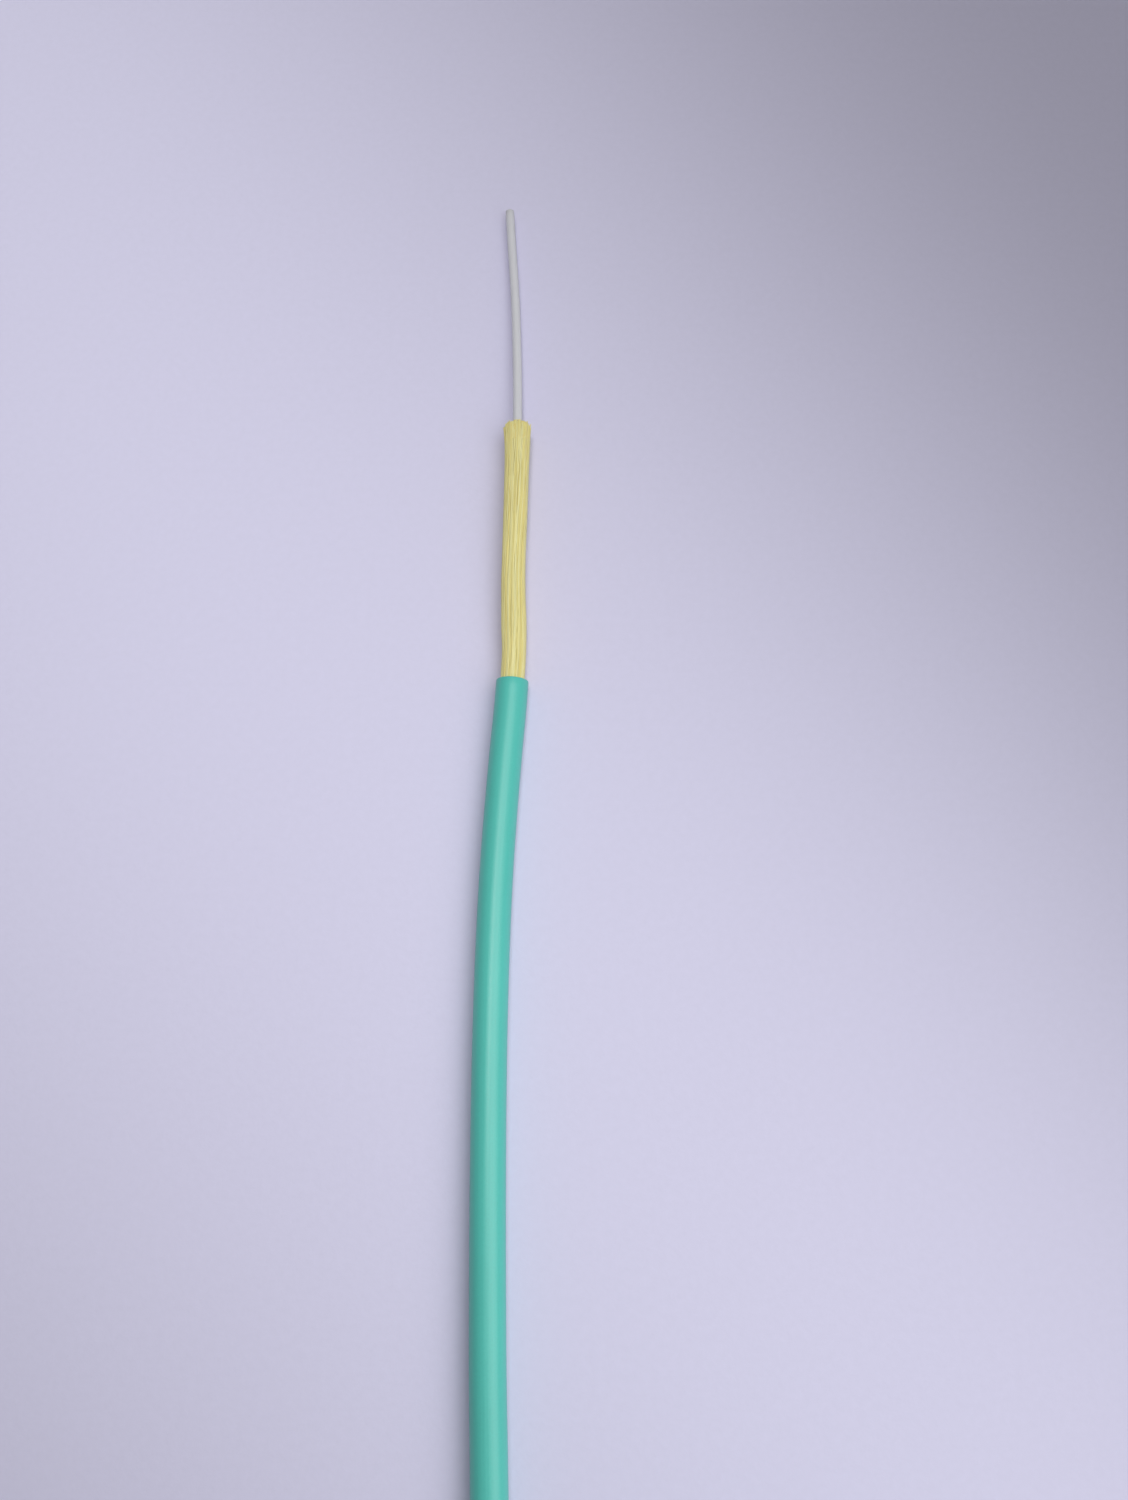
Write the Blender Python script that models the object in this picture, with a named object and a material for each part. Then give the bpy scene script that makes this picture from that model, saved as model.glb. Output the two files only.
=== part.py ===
"""One metre of indoor simplex fibre cable, stripped at one end and wound into a tied coil at the other.

Metres, +Z up. The cable lies on the floor plane z = 0 with its stripped end towards +Y. The origin is
at the middle of the whole cable's outline on the floor.
"""

import math

import bmesh
import bpy
from mathutils import Matrix, Vector

MM = 0.001

# Layers of the cable, outside to inside
JACKET_OD = 3.0 * MM
JACKET_WALL = 0.32 * MM
BUFFER_OD = 0.9 * MM
FIBRE_OD = 0.25 * MM
LAYER_CLEARANCE = 0.03 * MM
FIBRE_CLEARANCE = 0.02 * MM
YARN_BURST_OD = 2.54 * MM
YARN_END_ROUNDING = 0.35 * MM

# Lengths along the cable
CABLE_LENGTH = 1000 * MM
STRIPPED_YARN = 26.2 * MM
STRIPPED_BUFFER = 25.6 * MM

# Coil of the length that isn't laid out
COIL_LAYERS = 4
TURNS_PER_LAYER = 2
CLIMB_TURN = 0.25

# Twist ties round the coil
TIE_WIDTH = 3.0 * MM
TIE_THICKNESS = 0.5 * MM
TIE_CORNER = 0.6 * MM
TIE_TAIL_LENGTH = 9.0 * MM
TIE_TAIL_WIDTH = 1.6 * MM
TIE_TAIL_THICKNESS = 0.9 * MM
TIE_TAIL_TURNS = 1.5
TIE_ANGLES = (60, 240)

# Space kept between pieces that touch
GAP = 0.3 * MM
TIE_SLACK = 0.1 * MM

# Fineness of the solids
CURVE_STEPS = 10
LOOK_AHEAD = 0.2 * MM
SIDES = 12
STATION_STEP = 6.0 * MM
COIL_SEGMENTS = 48
BUMP_SIDES = 8
CORNER_STEPS = 3
TAIL_STEPS = 12
SMOOTH_ANGLE = math.radians(40)
MERGE_DISTANCE = 0.001 * MM

# Route in mm from the jacket's cut end: x, y and how far the axis rises above the jacket's axis
AHEAD = [
    (0.00, 0.0, 0.00), (0.11, 2.9, 0.08), (0.06, 5.8, 0.24), (-0.01, 9.7, 0.50),
    (0.03, 12.7, 0.66), (0.12, 16.6, 0.75), (0.19, 20.7, 0.73), (0.23, 24.1, 0.60),
    (0.20, 27.3, 0.40), (0.14, 31.2, 0.12), (0.04, 34.9, -0.06), (-0.09, 38.5, -0.17),
    (-0.24, 41.5, -0.25), (-0.43, 44.6, -0.31), (-0.68, 48.2, -0.37), (-0.94, 52.5, -0.43),
]
BEHIND = [
    (0.00, 0.0, 0.00), (-0.19, -2.9, 0.00), (-0.44, -5.9, 0.00), (-0.73, -9.8, 0.00),
    (-1.01, -14.1, 0.00), (-1.24, -18.5, 0.00), (-1.40, -23.1, 0.00), (-1.50, -28.0, 0.00),
    (-1.55, -33.7, 0.00), (-1.54, -39.4, 0.00), (-1.48, -46.0, 0.00), (-1.37, -52.9, 0.00),
    (-1.25, -58.5, 0.00), (-1.08, -63.6, 0.00), (-0.95, -68.6, 0.00), (-0.86, -73.6, 0.00),
    (-0.82, -78.5, 0.00), (-0.80, -84.0, 0.00), (-0.80, -89.5, 0.00), (-0.80, -95.0, 0.00),
    (-0.80, -100.5, 0.00),
]

# Sizes that follow
JACKET_R = JACKET_OD / 2
JACKET_BORE_R = JACKET_R - JACKET_WALL
YARN_R = JACKET_BORE_R - LAYER_CLEARANCE
BUFFER_R = BUFFER_OD / 2
YARN_BORE_R = BUFFER_R + LAYER_CLEARANCE
FIBRE_R = FIBRE_OD / 2
BUFFER_BORE_R = FIBRE_R + FIBRE_CLEARANCE

# Colour, roughness and metallic value of each material
AQUA_JACKET = ("aqua_jacket", (0.19, 0.60, 0.55), 0.38, 0.0)
YELLOW_YARN = ("yellow_yarn", (0.64, 0.57, 0.24), 0.65, 0.0)
WHITE_BUFFER = ("white_buffer", (0.72, 0.72, 0.74), 0.45, 0.0)
CLEAR_FIBRE = ("clear_fibre", (0.80, 0.86, 0.88), 0.10, 0.0)
BLACK_TIE = ("black_tie", (0.03, 0.03, 0.03), 0.50, 0.0)


class Route:
    """Smooth curve through the chosen points, read by its length from the first of them."""

    def __init__(self, points):
        self.samples = []
        last = len(points) - 1
        for i in range(last):
            before = points[max(i - 1, 0)]
            after = points[min(i + 2, last)]
            start, end = points[i], points[i + 1]
            leave = (end - before).normalized() * (end - start).length
            arrive = (after - start).normalized() * (end - start).length
            for k in range(CURVE_STEPS):
                t = k / CURVE_STEPS
                self.samples.append(
                    start * (2 * t**3 - 3 * t**2 + 1)
                    + leave * (t**3 - 2 * t**2 + t)
                    + end * (3 * t**2 - 2 * t**3)
                    + arrive * (t**3 - t**2)
                )
        self.samples.append(points[last])
        self.reach = [0.0]
        for a, b in zip(self.samples, self.samples[1:]):
            self.reach.append(self.reach[-1] + (b - a).length)
        self.length = self.reach[-1]

    def at(self, s):
        """Point at the distance s along the curve, carried on straight past its last point."""
        i = 0
        while i < len(self.samples) - 2 and self.reach[i + 1] < s:
            i += 1
        a, b = self.samples[i], self.samples[i + 1]
        return a + (b - a) * ((s - self.reach[i]) / (self.reach[i + 1] - self.reach[i]))


def route_points(rows):
    """Turns rows of the route into points on the cable's axis, in metres."""
    return [Vector((x * MM, y * MM, JACKET_R + rise * MM)) for x, y, rise in rows]


def stations_between(start, end):
    """Distances from the jacket's cut end, evenly spaced from start to end."""
    count = max(2, round(abs(end - start) / STATION_STEP))
    return [start + (end - start) * i / count for i in range(count + 1)]


def material(spec):
    """Principled material from a name, a colour, a roughness and a metallic value."""
    name, colour, roughness, metallic = spec
    made = bpy.data.materials.get(name)
    if made is None:
        made = bpy.data.materials.new(name)
        made.use_nodes = True
        shader = made.node_tree.nodes["Principled BSDF"]
        shader.inputs["Base Color"].default_value = (*colour, 1.0)
        shader.inputs["Roughness"].default_value = roughness
        shader.inputs["Metallic"].default_value = metallic
        made.diffuse_color = (*colour, 1.0)
    return made


def new_object(name, mesh_maker, spec, parent):
    """Closed mesh object from a bmesh, with its faces turned outwards."""
    bmesh.ops.recalc_face_normals(mesh_maker, faces=mesh_maker.faces)
    mesh = bpy.data.meshes.new(name)
    mesh_maker.to_mesh(mesh)
    mesh_maker.free()
    mesh.materials.append(material(spec))
    piece = bpy.data.objects.new(name, mesh)
    bpy.context.scene.collection.objects.link(piece)
    piece.parent = parent
    return piece


def smooth(piece):
    """Round faces shaded smooth, with its sharper corners kept."""
    piece.data.shade_smooth()
    piece.data.set_sharp_from_angle(angle=SMOOTH_ANGLE)


def ring_of_points(bm, centre, across, up, radius):
    """One section of a round tube, drawn round its circle so that it has a flat underneath."""
    corner = radius / math.cos(math.pi / SIDES)
    verts = []
    for k in range(SIDES):
        angle = 2 * math.pi * (k + 0.5) / SIDES
        place = centre + across * (corner * math.cos(angle)) + up * (corner * math.sin(angle))
        verts.append(bm.verts.new(place))
    return verts


def skin(bm, rings):
    """Faces between each section and the next."""
    for near, far in zip(rings, rings[1:]):
        for k in range(len(near)):
            j = (k + 1) % len(near)
            bm.faces.new((near[k], near[j], far[j], far[k]))


def layer_tube(name, stations, outer_radius, bore_radius, spec, parent):
    """One layer of the cable: a tube along the stations, or a rod where it has no bore."""
    bm = bmesh.new()
    outer, bore = [], []
    for s in stations:
        centre = cable_point(s)
        along = (cable_point(s + LOOK_AHEAD) - cable_point(s - LOOK_AHEAD)).normalized()
        across = along.cross(Vector((0, 0, 1))).normalized()
        up = across.cross(along)
        outer.append(ring_of_points(bm, centre, across, up, outer_radius(s)))
        if bore_radius:
            bore.append(ring_of_points(bm, centre, across, up, bore_radius))
    skin(bm, outer)
    if bore_radius:
        skin(bm, bore)
        skin(bm, [outer[0], bore[0]])
        skin(bm, [outer[-1], bore[-1]])
    else:
        bm.faces.new(outer[0])
        bm.faces.new(outer[-1])
    piece = new_object(name, bm, spec, parent)
    smooth(piece)
    return piece


def yarn_radius(s):
    """The yarn fills the jacket's bore, and swells a little towards its rounded cut end."""
    if s <= 0:
        return YARN_R
    if s > STRIPPED_YARN - YARN_END_ROUNDING / 2:
        return YARN_BURST_OD / 2 - YARN_END_ROUNDING
    return YARN_R + (YARN_BURST_OD / 2 - YARN_R) * s / STRIPPED_YARN


def coil_inner_radius(length):
    """Radius of the innermost turn, which makes the spiral layers and climbs take up the length."""
    width = TURNS_PER_LAYER * JACKET_OD
    spiral = COIL_LAYERS * TURNS_PER_LAYER * 2 * math.pi
    climb = CLIMB_TURN * 2 * math.pi
    outer_climbs = (COIL_LAYERS - 1) // 2
    spent = spiral * width / 2 + climb * outer_climbs * width
    return (length - spent) / (spiral + climb * (COIL_LAYERS - 1))


def coil_profile(inner):
    """Half section of the coil, with a bump for each turn and layer and a flat underside."""
    half_flat = JACKET_R * math.tan(math.pi / BUMP_SIDES)
    turns = TURNS_PER_LAYER + 1
    outer = inner + TURNS_PER_LAYER * JACKET_OD
    points = [(inner - half_flat, 0.0), (outer + half_flat, 0.0)]
    for layer in range(COIL_LAYERS):
        middle = JACKET_R + layer * JACKET_OD
        points.append((outer + JACKET_R, middle - half_flat))
        points.append((outer + JACKET_R, middle + half_flat))
        if layer < COIL_LAYERS - 1:
            points.append((outer + half_flat, middle + JACKET_R))
    top = COIL_LAYERS * JACKET_OD
    for turn in range(turns):
        middle = outer - turn * JACKET_OD
        points.append((middle + half_flat, top))
        points.append((middle - half_flat, top))
        if turn < turns - 1:
            points.append((middle - JACKET_R, top - JACKET_R + half_flat))
    for layer in reversed(range(COIL_LAYERS)):
        middle = JACKET_R + layer * JACKET_OD
        points.append((inner - JACKET_R, middle + half_flat))
        points.append((inner - JACKET_R, middle - half_flat))
        if layer:
            points.append((inner - half_flat, middle - JACKET_R))
    return points


def coil_solid(name, centre, inner, spec, parent):
    """The coil as one ring, turned about its own upright axis."""
    bm = bmesh.new()
    verts = [bm.verts.new(centre + Vector((r, 0, z))) for r, z in coil_profile(inner)]
    edges = [bm.edges.new((verts[i], verts[(i + 1) % len(verts)])) for i in range(len(verts))]
    bmesh.ops.spin(
        bm,
        geom=verts + edges,
        cent=centre,
        axis=(0, 0, 1),
        angle=2 * math.pi,
        steps=COIL_SEGMENTS,
        use_merge=True,
    )
    bmesh.ops.remove_doubles(bm, verts=bm.verts, dist=MERGE_DISTANCE)
    piece = new_object(name, bm, spec, parent)
    smooth(piece)
    return piece


def cut(piece, name, low, high, turn, pivot, parent):
    """Cuts a box out of a piece; the box is given about the pivot and turned about it."""
    bm = bmesh.new()
    size = high - low
    bmesh.ops.create_cube(bm, size=1)
    bmesh.ops.scale(bm, vec=size, verts=bm.verts)
    bmesh.ops.translate(bm, vec=(low + high) / 2, verts=bm.verts)
    cutter = new_object(name, bm, AQUA_JACKET, parent)
    cutter.location = pivot
    cutter.rotation_euler = (0, 0, turn)
    cutter.hide_render = True
    cutter.display_type = "WIRE"
    modifier = piece.modifiers.new(name, "BOOLEAN")
    modifier.operation = "DIFFERENCE"
    modifier.solver = "EXACT"
    modifier.object = cutter


def rounded_outline(low, high, corner):
    """Rounded rectangle in the plane of radius and height, counter-clockwise."""
    corners = [
        (high[0] - corner, high[1] - corner),
        (low[0] + corner, high[1] - corner),
        (low[0] + corner, low[1] + corner),
        (high[0] - corner, low[1] + corner),
    ]
    points = []
    for quarter, (x, z) in enumerate(corners):
        for k in range(CORNER_STEPS + 1):
            angle = math.pi / 2 * (quarter + k / CORNER_STEPS)
            points.append((x + corner * math.cos(angle), z + corner * math.sin(angle)))
    return points


def tie_band(bm, inner, outer):
    """Flat band of a tie, which goes round all the strands of the coil once."""
    low = (inner - JACKET_R - GAP, TIE_THICKNESS)
    high = (outer + JACKET_R + GAP, TIE_THICKNESS + COIL_LAYERS * JACKET_OD + TIE_SLACK)
    grow = TIE_THICKNESS
    inside = rounded_outline(low, high, TIE_CORNER)
    outside = rounded_outline(
        (low[0] - grow, low[1] - grow), (high[0] + grow, high[1] + grow), TIE_CORNER + grow
    )
    rings = []
    for outline, side in ((inside, -1), (outside, -1), (outside, 1), (inside, 1)):
        rings.append([bm.verts.new((x, side * TIE_WIDTH / 2, z)) for x, z in outline])
    skin(bm, rings + rings[:1])
    return high[1] + grow


def tie_tail(bm, radius, height):
    """Twisted ends of a tie, as one twisted flat bar that leaves the top of the band."""
    rings = []
    for k in range(TAIL_STEPS + 1):
        share = k / TAIL_STEPS
        angle = share * TIE_TAIL_TURNS * 2 * math.pi
        across = Vector((math.cos(angle), 0, math.sin(angle)))
        up = Vector((-math.sin(angle), 0, math.cos(angle)))
        centre = Vector((radius, share * TIE_TAIL_LENGTH, height))
        corners = []
        for a, b in ((1, 1), (-1, 1), (-1, -1), (1, -1)):
            place = centre + across * (a * TIE_TAIL_WIDTH / 2) + up * (b * TIE_TAIL_THICKNESS / 2)
            corners.append(bm.verts.new(place))
        rings.append(corners)
    skin(bm, rings)
    bm.faces.new(rings[0])
    bm.faces.new(rings[-1])


def twist_tie(name, centre, angle, inner, outer, spec, parent):
    """One tie: its band and its twisted tail, joined into one body."""
    bm = bmesh.new()
    top = tie_band(bm, inner, outer)
    band = new_object(name, bm, spec, parent)
    bm = bmesh.new()
    tie_tail(bm, (inner + outer) / 2, top - TIE_THICKNESS + TIE_TAIL_WIDTH / 2)
    tail = new_object(name + "_tail", bm, spec, parent)
    for piece in (band, tail):
        piece.location = centre
        piece.rotation_euler = (0, 0, angle)
    tail.hide_render = True
    tail.display_type = "WIRE"
    joint = band.modifiers.new("tail", "BOOLEAN")
    joint.operation = "UNION"
    joint.solver = "EXACT"
    joint.object = tail
    return band


for old in list(bpy.data.objects):
    bpy.data.objects.remove(old, do_unlink=True)

ahead = Route(route_points(AHEAD))
behind = Route(route_points(BEHIND))


def cable_point(s):
    """Point on the cable's axis: s is positive towards the stripped tip, negative towards the coil."""
    return ahead.at(s) if s >= 0 else behind.at(-s)


frame = bpy.data.objects.new("cable_frame", None)
bpy.context.scene.collection.objects.link(frame)

# Where each layer starts and ends along the cable
coil_start = -behind.length
tip = STRIPPED_YARN + STRIPPED_BUFFER
in_jacket = stations_between(coil_start, 0.0)
in_yarn = stations_between(0.0, STRIPPED_YARN - YARN_END_ROUNDING)[1:] + [STRIPPED_YARN]
in_buffer = stations_between(STRIPPED_YARN, tip)[1:]

# Layers
layer_tube(
    "outer_jacket", in_jacket, lambda s: JACKET_R, JACKET_BORE_R, AQUA_JACKET, frame
)
layer_tube("aramid_yarn", in_jacket + in_yarn, yarn_radius, YARN_BORE_R, YELLOW_YARN, frame)
layer_tube(
    "tight_buffer",
    in_jacket + in_yarn + in_buffer,
    lambda s: BUFFER_R,
    BUFFER_BORE_R,
    WHITE_BUFFER,
    frame,
)
layer_tube(
    "coated_fibre", in_jacket + in_yarn + in_buffer, lambda s: FIBRE_R, None, CLEAR_FIBRE, frame
)

# Coil, with a notch where the laid stretch joins its outermost turn and a slot under each tie
inner_turn = coil_inner_radius(CABLE_LENGTH - tip - behind.length)
outer_turn = inner_turn + TURNS_PER_LAYER * JACKET_OD
join = cable_point(coil_start)
middle = Vector((join.x + outer_turn, join.y, 0))
coil = coil_solid("cable_coil", middle, inner_turn, AQUA_JACKET, frame)
cut(
    coil,
    "lead_in_notch",
    Vector((-outer_turn - JACKET_OD, -GAP, -JACKET_R)),
    Vector((-outer_turn + JACKET_R + GAP, outer_turn, JACKET_OD + GAP)),
    0,
    middle,
    frame,
)
for number, degrees in enumerate(TIE_ANGLES, 1):
    cut(
        coil,
        f"tie_slot_{number}",
        Vector((inner_turn - JACKET_OD, -TIE_WIDTH / 2 - GAP, -JACKET_R)),
        Vector((outer_turn + JACKET_OD, TIE_WIDTH / 2 + GAP, TIE_THICKNESS + GAP)),
        math.radians(degrees),
        middle,
        frame,
    )
    twist_tie(
        f"coil_tie_{number}",
        middle,
        math.radians(degrees),
        inner_turn,
        outer_turn,
        BLACK_TIE,
        frame,
    )

# Origin at the middle of the outline on the floor
bpy.context.view_layer.update()
corners = []
for piece in bpy.data.objects:
    if piece.type == "MESH" and not piece.hide_render:
        corners += [piece.matrix_world @ v.co for v in piece.data.vertices]
low = Vector((min(c.x for c in corners), min(c.y for c in corners), 0))
high = Vector((max(c.x for c in corners), max(c.y for c in corners), 0))
frame.matrix_world = Matrix.Translation(-(low + high) / 2)
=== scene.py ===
import bisect
import math

import bmesh
import bpy
from mathutils import Matrix, Vector


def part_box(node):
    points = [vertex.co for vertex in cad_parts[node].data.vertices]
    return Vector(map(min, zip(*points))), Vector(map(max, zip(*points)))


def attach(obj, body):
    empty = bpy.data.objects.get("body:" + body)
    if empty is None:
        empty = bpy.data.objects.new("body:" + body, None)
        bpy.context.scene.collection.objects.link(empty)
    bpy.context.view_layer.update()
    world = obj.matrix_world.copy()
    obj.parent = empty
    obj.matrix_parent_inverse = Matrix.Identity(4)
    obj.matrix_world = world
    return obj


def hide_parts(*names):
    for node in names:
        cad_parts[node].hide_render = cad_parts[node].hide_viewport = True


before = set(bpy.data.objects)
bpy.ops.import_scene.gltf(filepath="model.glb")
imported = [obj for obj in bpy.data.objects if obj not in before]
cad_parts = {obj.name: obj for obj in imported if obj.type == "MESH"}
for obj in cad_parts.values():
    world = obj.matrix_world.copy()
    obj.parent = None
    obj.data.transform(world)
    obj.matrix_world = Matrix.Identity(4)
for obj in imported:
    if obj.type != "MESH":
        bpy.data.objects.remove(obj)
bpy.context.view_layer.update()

MM = 0.001

# Sizes of the cable, as in its source
JACKET_R = 1.5 * MM
JACKET_BORE_R = 1.18 * MM
YARN_R = 1.15 * MM
BUFFER_R = 0.45 * MM
BUFFER_BORE_R = 0.145 * MM
FIBRE_R = 0.125 * MM
CABLE_LENGTH = 1000 * MM
STRIPPED_YARN = 26.2 * MM
STRIPPED_BUFFER = 25.6 * MM
COIL_LAYERS = 4
TURNS_PER_LAYER = 2
CLIMB_TURN = 0.25
TIE_WIDTH = 3.0 * MM
TIE_THICKNESS = 0.5 * MM
TIE_ANGLES = (60, 240)

# How the turns ride over a tie under them: the level part and the rise beside it, in degrees each side
OVER_TIE = 6
RISE_TO_TIE = 24
TIE_CLEARANCE = 0.02 * MM

# How finely the coil's line is drawn, and how many steps it runs on past the cable's far end
COIL_STEP = math.radians(2)
SPARE_STEPS = 12

# How far each side of a point the cable's direction is read
NEARBY = 0.3 * MM

# Route in mm from the jacket's cut end: x, y and how far the axis rises above the jacket's axis
AHEAD = [
    (0.00, 0.0, 0.00), (0.11, 2.9, 0.08), (0.06, 5.8, 0.24), (-0.01, 9.7, 0.50),
    (0.03, 12.7, 0.66), (0.12, 16.6, 0.75), (0.19, 20.7, 0.73), (0.23, 24.1, 0.60),
    (0.20, 27.3, 0.40), (0.14, 31.2, 0.12), (0.04, 34.9, -0.06), (-0.09, 38.5, -0.17),
    (-0.24, 41.5, -0.25), (-0.43, 44.6, -0.31), (-0.68, 48.2, -0.37), (-0.94, 52.5, -0.43),
]
BEHIND = [
    (0.00, 0.0, 0.00), (-0.19, -2.9, 0.00), (-0.44, -5.9, 0.00), (-0.73, -9.8, 0.00),
    (-1.01, -14.1, 0.00), (-1.24, -18.5, 0.00), (-1.40, -23.1, 0.00), (-1.50, -28.0, 0.00),
    (-1.55, -33.7, 0.00), (-1.54, -39.4, 0.00), (-1.48, -46.0, 0.00), (-1.37, -52.9, 0.00),
    (-1.25, -58.5, 0.00), (-1.08, -63.6, 0.00), (-0.95, -68.6, 0.00), (-0.86, -73.6, 0.00),
    (-0.82, -78.5, 0.00), (-0.80, -84.0, 0.00), (-0.80, -89.5, 0.00), (-0.80, -95.0, 0.00),
    (-0.80, -100.5, 0.00),
]


class Axis:
    """The cable's centreline as close points, read by the distance along them."""

    def __init__(self, samples):
        self.samples = samples
        self.reach = [0.0]
        for a, b in zip(samples, samples[1:]):
            self.reach.append(self.reach[-1] + (b - a).length)
        self.length = self.reach[-1]

    def at(self, s):
        i = min(max(bisect.bisect_right(self.reach, s) - 1, 0), len(self.samples) - 2)
        a, b = self.samples[i], self.samples[i + 1]
        return a + (b - a) * ((s - self.reach[i]) / (self.reach[i + 1] - self.reach[i]))


def smooth_line(points, steps=10):
    """Close points of the smooth curve through the chosen points."""
    samples = []
    last = len(points) - 1
    for i in range(last):
        before, after = points[max(i - 1, 0)], points[min(i + 2, last)]
        start, end = points[i], points[i + 1]
        leave = (end - before).normalized() * (end - start).length
        arrive = (after - start).normalized() * (end - start).length
        for k in range(steps):
            t = k / steps
            samples.append(
                start * (2 * t**3 - 3 * t**2 + 1)
                + leave * (t**3 - 2 * t**2 + t)
                + end * (3 * t**2 - 2 * t**3)
                + arrive * (t**3 - t**2)
            )
    samples.append(points[last])
    return samples


def ease(t):
    """A smooth step from 0 to 1."""
    t = min(max(t, 0.0), 1.0)
    return t * t * (3 - 2 * t)


def chosen(rows):
    """The route's points in metres, raised by the jacket's radius so that it lies on the floor."""
    return [Vector((x * MM, y * MM, JACKET_R + rise * MM)) for x, y, rise in rows]


# The laid stretch, and the coil's radius that takes up the rest of the length
ahead_line = smooth_line(chosen(AHEAD))
laid_line = smooth_line(chosen(BEHIND))
PITCH = 2 * JACKET_R
laid_length = Axis(laid_line).length
coiled_length = CABLE_LENGTH - STRIPPED_YARN - STRIPPED_BUFFER - laid_length
spiral_angle = COIL_LAYERS * TURNS_PER_LAYER * 2 * math.pi
climb_angle = CLIMB_TURN * 2 * math.pi
band = TURNS_PER_LAYER * PITCH
spare = coiled_length - spiral_angle * band / 2 - climb_angle * ((COIL_LAYERS - 1) // 2) * band
INNER_TURN = spare / (spiral_angle + climb_angle * (COIL_LAYERS - 1))
OUTER_TURN = INNER_TURN + band

# Where the jacket's cut end and the coil's middle are in the frame
coil_low, coil_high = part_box("cable_coil")
coil_middle = Vector(
    (coil_high[0] - OUTER_TURN - JACKET_R, coil_low[1] + OUTER_TURN + JACKET_R, 0)
)
join = laid_line[-1]
strip_point = coil_middle - Vector((join.x + OUTER_TURN, join.y, 0))


def tie_lift(angle):
    """How much the turns rise to pass over the ties under them."""
    lift = 0.0
    for degrees in TIE_ANGLES:
        away = abs((math.degrees(angle) - degrees + 180) % 360 - 180)
        lift += 1 - ease(max(away - OVER_TIE, 0) / RISE_TO_TIE)
    return lift * (TIE_THICKNESS + TIE_CLEARANCE)


def coil_line():
    """Spiral layers in and out by turns, joined by climbs at the inside and the outside."""
    points = []
    angle = math.pi
    layer_angle = TURNS_PER_LAYER * 2 * math.pi

    def put(radius, height):
        points.append(
            coil_middle
            + Vector((math.cos(angle) * radius, math.sin(angle) * radius, height + tie_lift(angle)))
        )

    for layer in range(COIL_LAYERS):
        inward = layer % 2 == 0
        height = JACKET_R + layer * PITCH
        for k in range(round(layer_angle / COIL_STEP)):
            share = k * COIL_STEP / layer_angle
            put(OUTER_TURN - band * share if inward else INNER_TURN + band * share, height)
            angle += COIL_STEP
        edge = INNER_TURN if inward else OUTER_TURN
        if layer == COIL_LAYERS - 1:
            steps, climb = SPARE_STEPS, 0
        else:
            steps, climb = round(climb_angle / COIL_STEP), PITCH
        for k in range(steps):
            put(edge, height + climb * ease(k * COIL_STEP / climb_angle))
            angle += COIL_STEP
    return points


ahead = Axis([strip_point + p for p in ahead_line])
behind = Axis([strip_point + p for p in laid_line[:-1]] + coil_line())
TIP = STRIPPED_YARN + STRIPPED_BUFFER
FAR_END = TIP - CABLE_LENGTH


def axis_at(s):
    """Point on the axis: s is positive towards the stripped tip, negative towards the coil."""
    return ahead.at(s) if s >= 0 else behind.at(-s)


def section_at(s):
    """Centre and the two directions of the cable's section, across and up."""
    along = (axis_at(s + NEARBY) - axis_at(s - NEARBY)).normalized()
    across = along.cross(Vector((0, 0, 1))).normalized()
    return axis_at(s), across, across.cross(along)


# Camera: held over the cable, turned 15 degrees off straight down
PHOTO_FOCAL = 1127
PHOTO_LONG_SIDE = 1500
SENSOR = 36
CAMERA_TILT = math.radians(15)
CAMERA_OFFSET = Vector((4.76, -33.07, 100.3)) * MM
CAMERA_REACH = (0.005, 10)

camera_data = bpy.data.cameras.new("photo_camera")
camera_data.sensor_width = SENSOR
camera_data.lens = PHOTO_FOCAL / PHOTO_LONG_SIDE * SENSOR
camera_data.clip_start, camera_data.clip_end = CAMERA_REACH
camera = bpy.data.objects.new("photo_camera", camera_data)
camera.location = strip_point + CAMERA_OFFSET
camera.rotation_euler = (CAMERA_TILT, 0, 0)
bpy.context.scene.collection.objects.link(camera)
bpy.context.scene.camera = camera


def spaced(start, end, step):
    """Distances from start to end, evenly spaced by about the step."""
    count = max(1, round(abs(end - start) / step))
    return [start + (end - start) * i / count for i in range(count + 1)]


def finished_mesh(name, verts, faces, material, uvs=None, crease=50):
    """Mesh object with its faces turned outwards and shaded smooth, and its UV map if it has one."""
    mesh = bpy.data.meshes.new(name)
    mesh.from_pydata(verts, [], faces)
    if uvs:
        layer = mesh.uv_layers.new(name="UVMap")
        layer.data.foreach_set("uv", [c for uv in uvs for c in uv])
    bm = bmesh.new()
    bm.from_mesh(mesh)
    bmesh.ops.recalc_face_normals(bm, faces=bm.faces)
    bm.to_mesh(mesh)
    bm.free()
    mesh.shade_smooth()
    mesh.set_sharp_from_angle(angle=math.radians(crease))
    mesh.materials.append(material)
    piece = bpy.data.objects.new(name, mesh)
    bpy.context.scene.collection.objects.link(piece)
    return piece


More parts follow.
